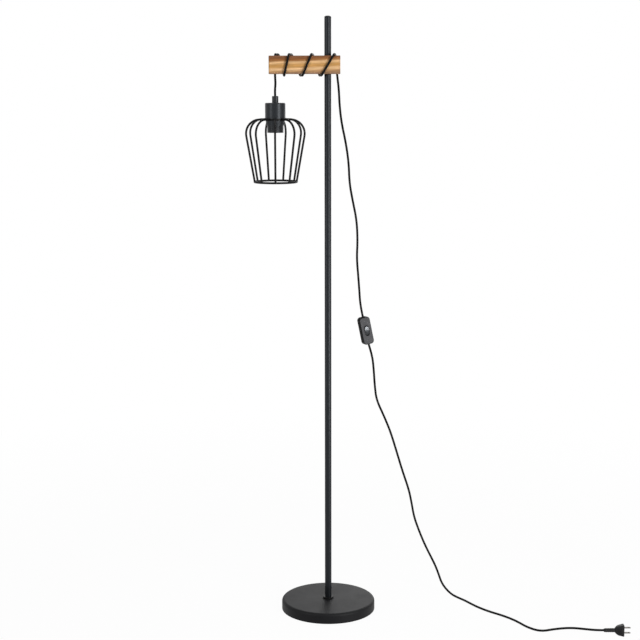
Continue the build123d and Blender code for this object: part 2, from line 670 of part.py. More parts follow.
def make_switch_contacts():
    floor = SWITCH_FRONT - SWITCH_WALL
    blocks = []
    for side in (-1, 1):
        middle = Pos(0, floor - TERMINAL_BLOCK / 2, side * TERMINAL_BLOCK_Z)
        blocks.append(middle * Box(TERMINAL_BLOCK, TERMINAL_BLOCK, TERMINAL_BLOCK))
    leaf_length = TERMINAL_BLOCK_Z
    leaf_y = floor - TERMINAL_BLOCK - LEAF_THICKNESS / 2
    leaf = Pos(0, leaf_y, TERMINAL_BLOCK_Z - leaf_length / 2) * Box(LEAF_WIDTH, LEAF_THICKNESS, leaf_length)
    blocks[1] = blocks[1] + leaf
    return Compound(blocks)


def make_switch_screws():
    screws = []
    for x, z in screw_places():
        seat = SWITCH_FRONT - SCREW_HEAD_HEIGHT
        tip = SWITCH_WALL - SWITCH_FRONT + SCREW_END_GAP
        screws.append(deep(SCREW_RADIUS, tip, seat, x, z) + deep(SCREW_HEAD_RADIUS, seat, SWITCH_FRONT, x, z))
    return Compound(screws)


def make_switch():
    save("switch_front_shell", SWITCH_PLACE * make_front_shell())
    save("switch_back_shell", SWITCH_PLACE * make_back_shell())
    save("switch_rocker", SWITCH_PLACE * make_rocker())
    save("switch_pivot", SWITCH_PLACE * make_switch_pivot())
    save("switch_contacts", SWITCH_PLACE * make_switch_contacts())
    save("switch_screws", SWITCH_PLACE * make_switch_screws())
    hinge = Plane(SWITCH_PLACE * Pos(0, -PIVOT_DEPTH, 0))
    print(f"switch_rocker: pivot {hinge.origin}, axis {hinge.x_dir}")


# Plug, made along +X from the end of the cord and then set on its narrow edge on the floor

def make_relief():
    along = Rot(0, 90, 0)
    seat = (Align.CENTER, Align.CENTER, Align.MIN)
    relief = along * Cone(RELIEF_START_RADIUS, RELIEF_END_RADIUS, RELIEF_LENGTH, align=seat)
    pitch = RELIEF_LENGTH / (RELIEF_RIBS + 1)
    for number in range(RELIEF_RIBS):
        x = (number + 1) * pitch
        radius = RELIEF_START_RADIUS + (RELIEF_END_RADIUS - RELIEF_START_RADIUS) * x / RELIEF_LENGTH
        relief = relief + Pos(x, 0, 0) * along * Cylinder(radius + RELIEF_RIB_HEIGHT, RELIEF_RIB_LENGTH)
    return relief


def blade_places():
    return [-BLADE_SPACING / 2, BLADE_SPACING / 2]


def make_plug_body():
    neck = PLUG_NECK_WIDTH / 2
    shoulder = PLUG_SHOULDER_WIDTH / 2
    waist = PLUG_WAIST_WIDTH / 2
    wide = PLUG_WIDTH / 2
    face = RELIEF_LENGTH + PLUG_LENGTH
    rim = face - PLUG_RIM_LENGTH
    bend = (RELIEF_LENGTH + rim) / 2
    upper = ThreePointArc((RELIEF_LENGTH, 0, neck), (bend, 0, shoulder), (rim, 0, waist))
    front = Line((rim, 0, waist), (rim, 0, -waist))
    lower = ThreePointArc((rim, 0, -waist), (bend, 0, -shoulder), (RELIEF_LENGTH, 0, -neck))
    back = Line((RELIEF_LENGTH, 0, -neck), (RELIEF_LENGTH, 0, neck))
    grip = extrude(make_face(upper + front + lower + back), PLUG_DEPTH / 2, dir=(0, 1, 0), both=True)
    grip = fillet(grip.edges().filter_by(GeomType.CIRCLE), PLUG_EDGE_ROUND)
    flare = Polyline((rim, 0, waist), (face - PLUG_RIM_LIP, 0, wide), (face, 0, wide),
                     (face, 0, -wide), (face - PLUG_RIM_LIP, 0, -wide), (rim, 0, -waist), close=True)
    body = grip + extrude(make_face(flare), PLUG_DEPTH / 2, dir=(0, 1, 0), both=True)
    for z in blade_places():
        slot = Pos(face - BLADE_ROOT / 2, 0, z) * Box(
            BLADE_ROOT, BLADE_WIDTH + 2 * PRESS_GAP, BLADE_THICKNESS + 2 * PRESS_GAP)
        body = body - slot
    return body


def make_plug_blades():
    face = RELIEF_LENGTH + PLUG_LENGTH
    length = BLADE_ROOT + BLADE_LENGTH
    blades = []
    for z in blade_places():
        blade = Pos(face - BLADE_ROOT + length / 2, 0, z) * Box(length, BLADE_WIDTH, BLADE_THICKNESS)
        tips = blade.faces().sort_by(Axis.X)[-1].edges().filter_by(Axis.Z)
        blades.append(fillet(tips, BLADE_TIP_ROUND))
    return Compound(blades)


def make_plug():
    place = Pos(*PLUG_ENTRY)
    save("plug_relief", place * make_relief())
    save("plug_body", place * make_plug_body())
    save("plug_blades", place * make_plug_blades())


os.makedirs("parts", exist_ok=True)
make_base()
make_pole()
save("beam", make_beam())
save("beam_bush", make_beam_bush())
make_cords()
save("pendant_cord", make_pendant_cord())
make_head()
make_switch()
make_plug()
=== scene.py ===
import json
import math

import bmesh
import bpy
from mathutils import Matrix, Vector


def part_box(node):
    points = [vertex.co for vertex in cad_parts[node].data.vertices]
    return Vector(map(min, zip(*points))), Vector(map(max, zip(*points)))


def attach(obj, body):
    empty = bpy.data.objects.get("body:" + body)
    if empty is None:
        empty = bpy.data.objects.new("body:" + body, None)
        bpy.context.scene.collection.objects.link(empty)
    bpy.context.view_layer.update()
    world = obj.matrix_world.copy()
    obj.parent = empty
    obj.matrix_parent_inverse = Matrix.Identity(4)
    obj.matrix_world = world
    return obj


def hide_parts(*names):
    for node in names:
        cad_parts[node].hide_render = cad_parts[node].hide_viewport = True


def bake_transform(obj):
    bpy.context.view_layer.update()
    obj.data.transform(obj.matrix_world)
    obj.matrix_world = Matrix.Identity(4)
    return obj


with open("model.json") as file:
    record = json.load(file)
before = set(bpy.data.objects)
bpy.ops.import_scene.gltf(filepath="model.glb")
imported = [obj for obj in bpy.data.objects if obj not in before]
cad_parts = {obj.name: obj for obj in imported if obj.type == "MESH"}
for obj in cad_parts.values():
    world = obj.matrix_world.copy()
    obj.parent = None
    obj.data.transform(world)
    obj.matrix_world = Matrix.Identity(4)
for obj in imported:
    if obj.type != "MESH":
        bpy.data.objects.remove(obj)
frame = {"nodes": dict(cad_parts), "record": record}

scene = bpy.context.scene
scene.view_settings.view_transform = "Standard"
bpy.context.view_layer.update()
slotOfNode = {row["node"]: row["material_slot"] for row in frame["record"]["subparts"]}
print("frame: %d CAD nodes" % len(frame["nodes"]))


# Node helpers

def colour(text):  # sRGB hex to a linear colour
    parts = [int(text[i:i + 2], 16) / 255 for i in (0, 2, 4)]
    return tuple(c / 12.92 if c <= 0.04045 else ((c + 0.055) / 1.055) ** 2.4 for c in parts) + (1.0,)


def addNode(tree, kind, inputs=None, **settings):
    made = tree.nodes.new(kind)
    for name, value in settings.items():
        setattr(made, name, value)
    for key, value in (inputs or {}).items():
        if isinstance(value, bpy.types.NodeSocket):
            tree.links.new(value, made.inputs[key])
        else:
            made.inputs[key].default_value = value
    return made


def addMath(tree, operation, first, second=0.0):
    return addNode(tree, "ShaderNodeMath", {0: first, 1: second}, operation=operation).outputs[0]


def addVector(tree, operation, first, second=(0, 0, 0), output="Vector"):
    made = addNode(tree, "ShaderNodeVectorMath", {0: first, 1: second}, operation=operation)
    return made.outputs[output]


def addRange(tree, value, fromRange, toRange):
    return addNode(tree, "ShaderNodeMapRange", {
        "Value": value, "From Min": fromRange[0], "From Max": fromRange[1],
        "To Min": toRange[0], "To Max": toRange[1]}).outputs[0]


def mixColour(tree, factor, first, second, blend="MIX"):
    return addNode(tree, "ShaderNodeMix", {0: factor, 6: first, 7: second},
                   data_type="RGBA", blend_type=blend).outputs[2]


def newMaterial(name):
    material = bpy.data.materials.new(name)
    material.use_nodes = True
    return material, material.node_tree, material.node_tree.nodes["Principled BSDF"]


# Mesh helpers

meshing = {"sharp": 32, "mergeGap": 1e-7, "cornerSteps": 6}


def newObject(name, mesh):
    piece = bpy.data.objects.new(name, mesh)
    scene.collection.objects.link(piece)
    return piece


def turnsRound(sides):
    return [2 * math.pi * i / sides for i in range(sides)]


def arc(middle, radius, start, end, steps=meshing["cornerSteps"]):
    angles = [math.radians(start + (end - start) * i / steps) for i in range(steps + 1)]
    return [(middle[0] + radius * math.cos(a), middle[1] + radius * math.sin(a)) for a in angles]


def loft(name, loops, closed=False, sharp=meshing["sharp"], place=None):  # skin over loops of equal length
    bm = bmesh.new()
    rings = [[bm.verts.new(point) for point in loop] for loop in loops]
    pairs = list(zip(rings, rings[1:]))
    if closed:
        pairs.append((rings[-1], rings[0]))
    for near, far in pairs:
        for i in range(len(near)):
            j = (i + 1) % len(near)
            bm.faces.new((near[i], near[j], far[j], far[i]))
    if not closed:
        bm.faces.new(rings[0])
        bm.faces.new(rings[-1])
    bmesh.ops.remove_doubles(bm, verts=bm.verts, dist=meshing["mergeGap"])
    bmesh.ops.recalc_face_normals(bm, faces=bm.faces)
    if place:
        bmesh.ops.transform(bm, matrix=place, verts=bm.verts)
    mesh = bpy.data.meshes.new(name)
    bm.to_mesh(mesh)
    bm.free()
    mesh.polygons.foreach_set("use_smooth", [True] * len(mesh.polygons))
    mesh.set_sharp_from_angle(angle=math.radians(sharp))
    return newObject(name, mesh)


def lathe(name, profile, sides, middle=(0, 0), closed=True, place=None):  # profile of radius and height
    x, y = middle
    loops = []
    for radius, height in profile:
        loops.append([Vector((x + radius * math.cos(a), y + radius * math.sin(a), height))
                      for a in turnsRound(sides)])
    return loft(name, loops, closed, place=place)


def outline(width, length, corner, steps=meshing["cornerSteps"]):  # rounded rectangle
    points = []
    for signX, signZ, start in ((1, 1, 0), (-1, 1, 90), (-1, -1, 180), (1, -1, 270)):
        middle = (signX * (width / 2 - corner), signZ * (length / 2 - corner))
        points += arc(middle, corner, start, start + 90, steps)
    return points


def tubeLoops(line, radius, sides):  # rings carried along a line without twist
    last = len(line) - 1
    tangents = [(line[min(i + 1, last)] - line[max(i - 1, 0)]).normalized() for i in range(last + 1)]
    side = tangents[0].orthogonal().normalized()
    turns = turnsRound(sides)
    loops = []
    for point, tangent in zip(line, tangents):
        side = (side - tangent * side.dot(tangent)).normalized()
        across = tangent.cross(side)
        loops.append([point + radius * (math.cos(a) * side + math.sin(a) * across) for a in turns])
    return loops


def joined(name, pieces):  # one mesh from several
    bm = bmesh.new()
    for piece in pieces:
        bm.from_mesh(piece.data)
    mesh = bpy.data.meshes.new(name)
    bm.to_mesh(mesh)
    bm.free()
    for piece in pieces:
        bpy.data.objects.remove(piece)
    return newObject(name, mesh)


# Geometry Nodes trees

def addInputs(tree, sockets):
    tree.interface.new_socket("Geometry", in_out="INPUT", socket_type="NodeSocketGeometry")
    for label, kind in sockets:
        tree.interface.new_socket(label, in_out="INPUT", socket_type="NodeSocket" + kind)
    tree.interface.new_socket("Geometry", in_out="OUTPUT", socket_type="NodeSocketGeometry")
    return addNode(tree, "NodeGroupInput").outputs


def closeTree(tree, geometry, place, finish):
    real = addNode(tree, "GeometryNodeRealizeInstances", {"Geometry": geometry})
    moved = addNode(tree, "GeometryNodeTransform", {"Geometry": real.outputs[0], "Translation": place})
    dressed = addNode(tree, "GeometryNodeSetMaterial", {"Geometry": moved.outputs[0], "Material": finish})
    addNode(tree, "NodeGroupOutput", {"Geometry": dressed.outputs[0]})
    return tree


def makeCopiesRound():  # copies of one shape, turned about an upright axis
    tree = bpy.data.node_groups.new("copiesRound", "GeometryNodeTree")
    given = addInputs(tree, (("Count", "Int"), ("First Angle", "Float"), ("Middle", "Vector"),
                             ("Finish", "Material")))
    points = addNode(tree, "GeometryNodeMeshLine", {"Count": given["Count"], "Offset": (0, 0, 0)})
    index = addNode(tree, "GeometryNodeInputIndex")
    step = addMath(tree, "DIVIDE", 2 * math.pi, given["Count"])
    angle = addMath(tree, "ADD", addMath(tree, "MULTIPLY", index.outputs[0], step), given["First Angle"])
    turn = addNode(tree, "ShaderNodeCombineXYZ", {"Z": angle})
    rotation = addNode(tree, "FunctionNodeEulerToRotation", {0: turn.outputs[0]})
    copies = addNode(tree, "GeometryNodeInstanceOnPoints", {
        "Points": points.outputs[0], "Instance": given["Geometry"], "Rotation": rotation.outputs[0]})
    return closeTree(tree, copies.outputs[0], given["Middle"], given["Finish"])


def makeCopiesInRow():  # copies of one shape, a step apart
    tree = bpy.data.node_groups.new("copiesInRow", "GeometryNodeTree")
    given = addInputs(tree, (("Count", "Int"), ("Step", "Vector"), ("Start", "Vector"),
                             ("Finish", "Material")))
    points = addNode(tree, "GeometryNodeMeshLine", {"Count": given["Count"], "Offset": given["Step"]})
    copies = addNode(tree, "GeometryNodeInstanceOnPoints", {
        "Points": points.outputs[0], "Instance": given["Geometry"]})
    return closeTree(tree, copies.outputs[0], given["Start"], given["Finish"])


ridgeSteps = {"perTurn": 48, "section": 8}


def makeThreadRidge():  # round ridge that climbs about an upright axis
    tree = bpy.data.node_groups.new("threadRidge", "GeometryNodeTree")
    given = addInputs(tree, (("Turns", "Float"), ("Radius", "Float"), ("Rise", "Float"), ("Ridge", "Float"),
                             ("Start", "Vector"), ("Finish", "Material")))
    spiral = addNode(tree, "GeometryNodeCurveSpiral", {
        "Resolution": ridgeSteps["perTurn"], "Rotations": given["Turns"], "Start Radius": given["Radius"],
        "End Radius": given["Radius"], "Height": given["Rise"]})
    section = addNode(tree, "GeometryNodeCurvePrimitiveCircle", {
        "Resolution": ridgeSteps["section"], "Radius": given["Ridge"]})
    swept = addNode(tree, "GeometryNodeCurveToMesh", {
        "Curve": spiral.outputs[0], "Profile Curve": section.outputs[0], "Fill Caps": True})
    return closeTree(tree, swept.outputs[0], given["Start"], given["Finish"])


copiesRound, copiesInRow, threadRidge = makeCopiesRound(), makeCopiesInRow(), makeThreadRidge()


def grow(name, tree, values, source=None):  # evaluate a tree and keep the result as a plain mesh
    piece = source or newObject(name, bpy.data.meshes.new(name))
    piece.name = name
    modifier = piece.modifiers.new("grow", "NODES")
    modifier.node_group = tree
    for item in tree.interface.items_tree:
        if item.in_out == "INPUT" and item.name in values:
            modifier[item.identifier] = values[item.name]
    made = bpy.data.meshes.new_from_object(piece.evaluated_get(bpy.context.evaluated_depsgraph_get()))
    piece.modifiers.clear()
    piece.data = made
    made.name = name
    made.polygons.foreach_set("use_smooth", [True] * len(made.polygons))
    return piece


# Size and place of the in-line switch, which its finish reads too

switchShape = {
    "middle": (0.0930, 0.046, 0.699), "lean": 11.5, "turn": 18.0, "width": 0.0275, "length": 0.0685,
    "half": 0.010, "corner": 0.008, "edge": 0.0025, "groove": 0.00035, "frame": (0.0146, 0.0290),
    "opening": (0.0117, 0.026), "recess": 0.0030, "frameProud": 0.0006,
    # share of the way from frame to opening, and share of the frame's height
    "frameRise": ((0.0, 0.0), (0.12, 0.7), (0.35, 1.0), (0.75, 1.0), (0.95, 0.6), (1.0, 0.0)),
}
switchLean = Matrix.Rotation(math.radians(-switchShape["lean"]), 4, "Y")
switchTurn = Matrix.Rotation(math.radians(switchShape["turn"]), 4, "Z")
switchPlace = Matrix.Translation(switchShape["middle"]) @ switchLean @ switchTurn
switchFront = switchPlace.to_3x3() @ Vector((0, -1, 0))


# Shared surface effect: fine texture and broad patches

grainLook = {"fine": {"Detail": 2.0, "Roughness": 0.6}, "patch": {"Detail": 4.0, "Roughness": 0.55},
             "patchRange": (0.3, 0.7)}


def makeSurfaceGrain():
    group = bpy.data.node_groups.new("surfaceGrain", "ShaderNodeTree")
    for label in ("Fine Scale", "Patch Scale"):
        group.interface.new_socket(label, in_out="INPUT", socket_type="NodeSocketFloat")
    for label in ("Height", "Patches"):
        group.interface.new_socket(label, in_out="OUTPUT", socket_type="NodeSocketFloat")
    given = addNode(group, "NodeGroupInput").outputs
    place = addNode(group, "ShaderNodeTexCoord").outputs["Object"]
    fine = addNode(group, "ShaderNodeTexNoise", {
        "Vector": place, "Scale": given["Fine Scale"], **grainLook["fine"]})
    patch = addNode(group, "ShaderNodeTexNoise", {
        "Vector": place, "Scale": given["Patch Scale"], **grainLook["patch"]})
    spread = addRange(group, patch.outputs[0], grainLook["patchRange"], (0.0, 1.0))
    addNode(group, "NodeGroupOutput", {"Height": fine.outputs[0], "Patches": spread})
    return group


surfaceGrain = makeSurfaceGrain()


def dressShader(tree, shader, look, tone, rough, height):
    bump = addNode(tree, "ShaderNodeBump", {
        "Height": height, "Strength": look["bump"], "Distance": look["depth"]})
    tree.links.new(tone, shader.inputs["Base Color"])
    tree.links.new(rough, shader.inputs["Roughness"])
    tree.links.new(bump.outputs[0], shader.inputs["Normal"])
    shader.inputs["Specular IOR Level"].default_value = look["gloss"]


def coatedFinish(name, look, metallic=0.0):
    material, tree, shader = newMaterial(name)
    grain = addNode(tree, "ShaderNodeGroup", {"Fine Scale": look["fine"], "Patch Scale": look["patch"]},
                    node_tree=surfaceGrain)
    patches = grain.outputs["Patches"]
    tone = mixColour(tree, patches, colour(look["dark"]), colour(look["light"]))
    if "face" in look:  # painted sheen and shade: the front is painted paler than the walls, standing in for the light on the face and the shade on the walls
        place = addNode(tree, "ShaderNodeTexCoord").outputs["Object"]
        moved = addVector(tree, "SUBTRACT", place, switchShape["middle"])
        front = addVector(tree, "DOT_PRODUCT", moved, switchFront, "Value")
        wall = mixColour(tree, patches, *(colour(text) for text in look["wall"]))
        tone = mixColour(tree, addRange(tree, front, look["face"], (0.0, 1.0)), wall, tone)
    rough = addRange(tree, patches, (0, 1), look["rough"])
    dressShader(tree, shader, look, tone, rough, grain.outputs["Height"])
    shader.inputs["Metallic"].default_value = metallic
    shader.inputs["Specular Tint"].default_value = look.get("tint", (1, 1, 1, 1))
    return material


coolTint = (0.89, 0.94, 1.0, 1.0)
coatings = {
    "satinPaint": {"dark": "0d0f12", "light": "111417", "rough": (0.31, 0.35), "gloss": 0.24,
                   "fine": 1400, "patch": 30, "bump": 0.03, "depth": 0.0002, "tint": coolTint},
    "basePaint": {"dark": "0a0a0c", "light": "0f0f11", "rough": (0.50, 0.56), "gloss": 0.14,
                  "fine": 1100, "patch": 22, "bump": 0.12, "depth": 0.0002},
    "headPaint": {"dark": "0d0f12", "light": "101317", "rough": (0.32, 0.38), "gloss": 0.30,
                  "fine": 1600, "patch": 45, "bump": 0.05, "depth": 0.0002, "tint": coolTint},
    "holderPlastic": {"dark": "0e0e0f", "light": "131314", "rough": (0.30, 0.36), "gloss": 0.28,
                      "fine": 2200, "patch": 90, "bump": 0.06, "depth": 0.0002, "tint": coolTint},
    # black switch plastic: its grey front tones are painted sheen, and its darker wall tones are painted
    # shade
    "switchPlastic": {"dark": "4b4b4d", "light": "555557", "rough": (0.50, 0.60), "gloss": 0.03,
                      "fine": 2600, "patch": 80, "bump": 0.18, "depth": 0.0002,
                      "wall": ("0b0b0b", "151515"), "face": (0.0094, 0.0100)},
    "rockerPlastic": {"dark": "050506", "light": "080809", "rough": (0.17, 0.20), "gloss": 0.62,
                      "fine": 300, "patch": 40, "bump": 0.01, "depth": 0.0001, "tint": coolTint},
    "plugPlastic": {"dark": "0f0f0f", "light": "151515", "rough": (0.42, 0.52), "gloss": 0.16,
                    "fine": 2000, "patch": 80, "bump": 0.22, "depth": 0.0002},
    "wirePaint": {"dark": "0b0b0c", "light": "101011", "rough": (0.38, 0.44), "gloss": 0.1,
                  "fine": 1600, "patch": 45, "bump": 0.12, "depth": 0.0002},
    "cordSheath": {"dark": "0a0a0a", "light": "101010", "rough": (0.46, 0.56), "gloss": 0.06,
                   "fine": 1100, "patch": 55, "bump": 0.15, "depth": 0.0003},
    "padRubber": {"dark": "262524", "light": "33312f", "rough": (0.75, 0.9), "gloss": 0.3,
                  "fine": 1800, "patch": 40, "bump": 0.4, "depth": 0.0004},
    "castIron": {"dark": "3a3835", "light": "55504a", "rough": (0.6, 0.8), "gloss": 0.4,
                 "fine": 500, "patch": 25, "bump": 0.5, "depth": 0.0008},
    "fibreBoard": {"dark": "1c1a18", "light": "2a2623", "rough": (0.7, 0.85), "gloss": 0.2,
                   "fine": 1500, "patch": 120, "bump": 0.4, "depth": 0.0003},
}
metals = {
    "zincSteel": {"dark": "9c9a94", "light": "c4c2bb", "rough": (0.28, 0.45), "gloss": 0.5,
                  "fine": 900, "patch": 60, "bump": 0.08, "depth": 0.0002},
    "turnedBrass": {"dark": "a98440", "light": "d2ad62", "rough": (0.22, 0.38), "gloss": 0.5,
                    "fine": 1200, "patch": 90, "bump": 0.06, "depth": 0.0002},
    "platedBlade": {"dark": "413e39", "light": "56524b", "rough": (0.28, 0.42), "gloss": 0.5,
                    "fine": 1500, "patch": 120, "bump": 0.06, "depth": 0.0001},
}
finishes = {name: coatedFinish(name, look) for name, look in coatings.items()}
finishes.update({name: coatedFinish(name, look, 1.0) for name, look in metals.items()})


# Wood of the beam: rings about a heart below the beam, growth lines, fibres and pores along X

beamWood = {
    "heart": (-0.055, 0.010, 1.285), "tilt": 1.7, "rings": (0.044, 0.092),
    "bands": (  # millimetres from the heart and the tone there
        (44, "866440"), (48, "7f5f45"), (51.2, "8f6f52"), (53.1, "9d7753"), (55.1, "b48a5d"),
        (57.1, "cfa678"), (58.6, "d9b182"), (60.2, "deb585"), (62.0, "cda170"), (63.8, "be9055"),
        (65.8, "b8884c"), (68.0, "bc8d52"), (70.4, "c99e6a"), (72.4, "d8ae7c"), (74.4, "d9af7e"),
        (75.8, "c0956a"), (77.4, "a07242"), (79.4, "905f33"), (81.4, "80502b"), (83.6, "774c2b"),
        (87, "7a5035"), (92, "8a5a38")),
    "wander": 0.0022, "wanderScale": (7, 60, 60), "wanderDetail": 3.0, "wanderRange": (0.25, 0.75),
    "fibreScale": (26, 420, 420), "fibreDetail": 5.0, "fibreRange": (0.3, 0.7), "fibreSpread": (0.77, 1.15),
    "poreScale": (50, 1500, 1500), "poreDetail": 1.0, "poreRange": (0.60, 0.72), "poreShade": 0.3,
    "poreTone": "4a2c18", "lineGap": 0.0016, "lineWander": 9.0, "lineSpread": (1.07, 0.88),
    # painted shade at the beam's ends: reach from the middle, share and tone
    "endReach": (0.080, 0.0865), "endShade": 0.45, "endTone": "5a3418",
    "rough": (0.40, 0.54), "bump": 0.25, "depth": 0.0002, "gloss": 0.22,
}


def woodFinish(look):
    material, tree, shader = newMaterial("honeyWood")
    place = addNode(tree, "ShaderNodeTexCoord").outputs["Object"]
    moved = addVector(tree, "SUBTRACT", place, look["heart"])
    grain = addNode(tree, "ShaderNodeMapping", {
        "Vector": moved, "Rotation": (0, math.radians(look["tilt"]), 0)}).outputs[0]

    def stretched(kind):  # noise drawn out along the grain
        mapped = addNode(tree, "ShaderNodeMapping", {"Vector": grain, "Scale": look[kind + "Scale"]})
        noise = addNode(tree, "ShaderNodeTexNoise", {
            "Vector": mapped.outputs[0], "Scale": 1.0, "Detail": look[kind + "Detail"]})
        return noise.outputs[0]

    reach = addVector(tree, "LENGTH", addVector(tree, "MULTIPLY", grain, (0, 1, 1)), output="Value")
    wander = addRange(tree, stretched("wander"), look["wanderRange"], (-look["wander"], look["wander"]))
    grown = addMath(tree, "ADD", reach, wander)
    ramp = addNode(tree, "ShaderNodeValToRGB", {"Fac": addRange(tree, grown, look["rings"], (0.0, 1.0))})
    low, high = (1000 * edge for edge in look["rings"])  # millimetres, as in the bands
    stops = ramp.color_ramp.elements
    while len(stops) > 1:
        stops.remove(stops[-1])
    for i, (reachMm, text) in enumerate(look["bands"]):
        spot = (reachMm - low) / (high - low)
        stop = stops.new(spot) if i else stops[0]
        stop.position = spot
        stop.color = colour(text)
    fibre = stretched("fibre")
    pores = addRange(tree, stretched("pore"), look["poreRange"], (0.0, 1.0))
    phase = addMath(tree, "MULTIPLY", grown, 2 * math.pi / look["lineGap"])
    bent = addMath(tree, "ADD", phase, addMath(tree, "MULTIPLY", fibre, look["lineWander"]))
    lines = addRange(tree, addMath(tree, "SINE", bent), (0.0, 1.0), look["lineSpread"])
    fibreShade = addRange(tree, fibre, look["fibreRange"], look["fibreSpread"])
    streaks = addMath(tree, "MULTIPLY", fibreShade, lines)
    streaked = mixColour(tree, 1.0, ramp.outputs[0], streaks, "MULTIPLY")
    poreShare = addMath(tree, "MULTIPLY", pores, look["poreShade"])
    pored = mixColour(tree, poreShare, streaked, colour(look["poreTone"]))
    # painted shade: the wood is darkened towards both ends, standing in for the shade at the beam's rounded
    # ends
    along = addNode(tree, "ShaderNodeSeparateXYZ", {0: moved}).outputs["X"]
    paintedEndShade = addRange(tree, addMath(tree, "ABSOLUTE", along), look["endReach"], (0.0, look["endShade"]))
    tone = mixColour(tree, paintedEndShade, pored, colour(look["endTone"]))
    rough = addRange(tree, fibre, look["fibreRange"], look["rough"])
    dressShader(tree, shader, look, tone, rough, addMath(tree, "SUBTRACT", fibre, pores))
    return material


finishes["honeyWood"] = woodFinish(beamWood)
finishOfSlot = {
    "pole_black": "satinPaint", "head_black": "headPaint", "weight_iron": "castIron",
    "pad_rubber": "padRubber", "fixing_steel": "zincSteel", "washer_fibre": "fibreBoard",
    "beam_wood": "honeyWood", "bush_brass": "turnedBrass", "cord_black": "cordSheath",
    "holder_black": "holderPlastic", "switch_black": "switchPlastic", "plug_black": "plugPlastic",
    "blade_metal": "platedBlade",
}
finishOfNode = {"base_cover": "basePaint", "foot_collar": "wirePaint", "cage_collar": "wirePaint"}
for nodeName, nodeObject in frame["nodes"].items():
    nodeFinish = finishOfNode.get(nodeName, finishOfSlot[slotOfNode[nodeName]])
    nodeObject.data.materials.clear()
    nodeObject.data.materials.append(finishes[nodeFinish])
print("finishes: %d materials" % len(finishes))


def settle(piece, body, slotName, nodes=(), finish=None):
    piece.data.materials.clear()
    piece.data.materials.append(finishes[finish or finishOfSlot[slotName]])
    if nodes:
        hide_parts(*nodes)
    if body:
        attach(piece, body)
    return piece


# Camera at the photograph's place

photoView = {"place": (-0.0185, -3.4975, 1.3074), "pitch": 9.33, "roll": 0.1, "focalPixels": 1455.1,
             "imagePixels": 640, "sensor": 36.0}
lens = bpy.data.cameras.new("photoCamera")
lens.sensor_width = photoView["sensor"]
lens.lens = lens.sensor_width * photoView["focalPixels"] / photoView["imagePixels"]
camera = newObject("photoCamera", lens)
camera.location = photoView["place"]
camera.rotation_euler = (math.radians(90 - photoView["pitch"]), math.radians(photoView["roll"]), 0)
scene.camera = camera


# Cords: the main one, the pendant's and the end inside the lamp head

mainCord = {"radius": 0.0027, "sides": 16, "lineSteps": 12, "beamMiddle": 1.345}


def splineLine(name, points):  # points read from the NURBS spline of a route
    data = bpy.data.curves.new(name, "CURVE")
    data.dimensions = "3D"
    spline = data.splines.new("NURBS")
    spline.points.add(len(points) - 1)
    for target, point in zip(spline.points, points):
        target.co = (*point, 1.0)
    spline.order_u = 3
    spline.use_endpoint_u = True
    spline.resolution_u = mainCord["lineSteps"]
    holder = newObject(name, data)
    made = bpy.data.meshes.new_from_object(holder.evaluated_get(bpy.context.evaluated_depsgraph_get()))
    line = [vertex.co.copy() for vertex in made.vertices]
    bpy.data.objects.remove(holder)
    return line


def lineLength(line):
    return sum((b - a).length for a, b in zip(line, line[1:]))


def cordTube(name, line):
    return loft(name, tubeLoops(line, mainCord["radius"], mainCord["sides"]))


around = {  # spots round the beam, two at each edge: offset in Y and Z from its middle line
    "topBack": (0.0206, 0.0251), "backTop": (0.0251, 0.0206), "back": (0.0243, 0.0),
    "backLow": (0.0251, -0.0206), "lowBack": (0.0206, -0.0251), "low": (0.0, -0.0243),
    "lowFront": (-0.0206, -0.0251), "frontLow": (-0.0251, -0.0206), "front": (-0.0243, 0.0),
    "frontTop": (-0.0251, 0.0206), "topFront": (-0.0206, 0.0251), "top": (0.0, 0.0243),
}
windingStations = (  # spot and place along the beam, turn by turn
    ("topBack", -0.1175), ("backTop", -0.1160), ("back", -0.1100), ("backLow", -0.1052),
    ("lowBack", -0.1042), ("low", -0.1034), ("lowFront", -0.1026), ("frontLow", -0.1019),
    ("front", -0.0972), ("frontTop", -0.0928), ("topFront", -0.0915), ("top", -0.0887),
    ("topBack", -0.0860), ("backTop", -0.0840), ("back", -0.0758), ("backLow", -0.0675),
    ("lowBack", -0.0655), ("low", -0.0625), ("lowFront", -0.0595), ("frontLow", -0.0575),
    ("front", -0.0490), ("frontTop", -0.0405), ("topFront", -0.0387), ("top", -0.0372),
    ("topBack", -0.0358), ("backTop", -0.0343), ("back", -0.0278), ("backLow", -0.0212),
    ("lowBack", -0.0196), ("low", -0.0172), ("lowFront", -0.0149), ("frontLow", -0.0123),
    ("front", 0.0), ("frontTop", 0.0123), ("topFront", 0.0148), ("top", 0.0162),
    ("topBack", 0.0177), ("backTop", 0.0183), ("back", 0.0201),
)
holeRoute = [  # up through the hole in the beam
    (-0.1250, 0.0, 1.3263), (-0.1250, 0.0, 1.3450), (-0.1250, 0.0002, 1.3615), (-0.1246, 0.0024, 1.3703),
    (-0.1226, 0.0105, 1.3694)]
windingRoute = [(x, around[spot][0], mainCord["beamMiddle"] + around[spot][1])
                for spot, x in windingStations]
switchRoute = [  # down behind the beam to the switch
    (0.0222, 0.0244, 1.3235), (0.0267, 0.0244, 1.2856), (0.0284, 0.0265, 1.2470), (0.0334, 0.0285, 1.2060),
    (0.0430, 0.0300, 1.1630), (0.0505, 0.0320, 1.1130), (0.0524, 0.0335, 1.0630), (0.0604, 0.0350, 1.0200),
    (0.0702, 0.0365, 0.9730), (0.0727, 0.0380, 0.9220), (0.0706, 0.0395, 0.8800), (0.0744, 0.0415, 0.8360),
    (0.0772, 0.0435, 0.8000), (0.0796, 0.0460, 0.7649), (0.0874, 0.0460, 0.7267)]
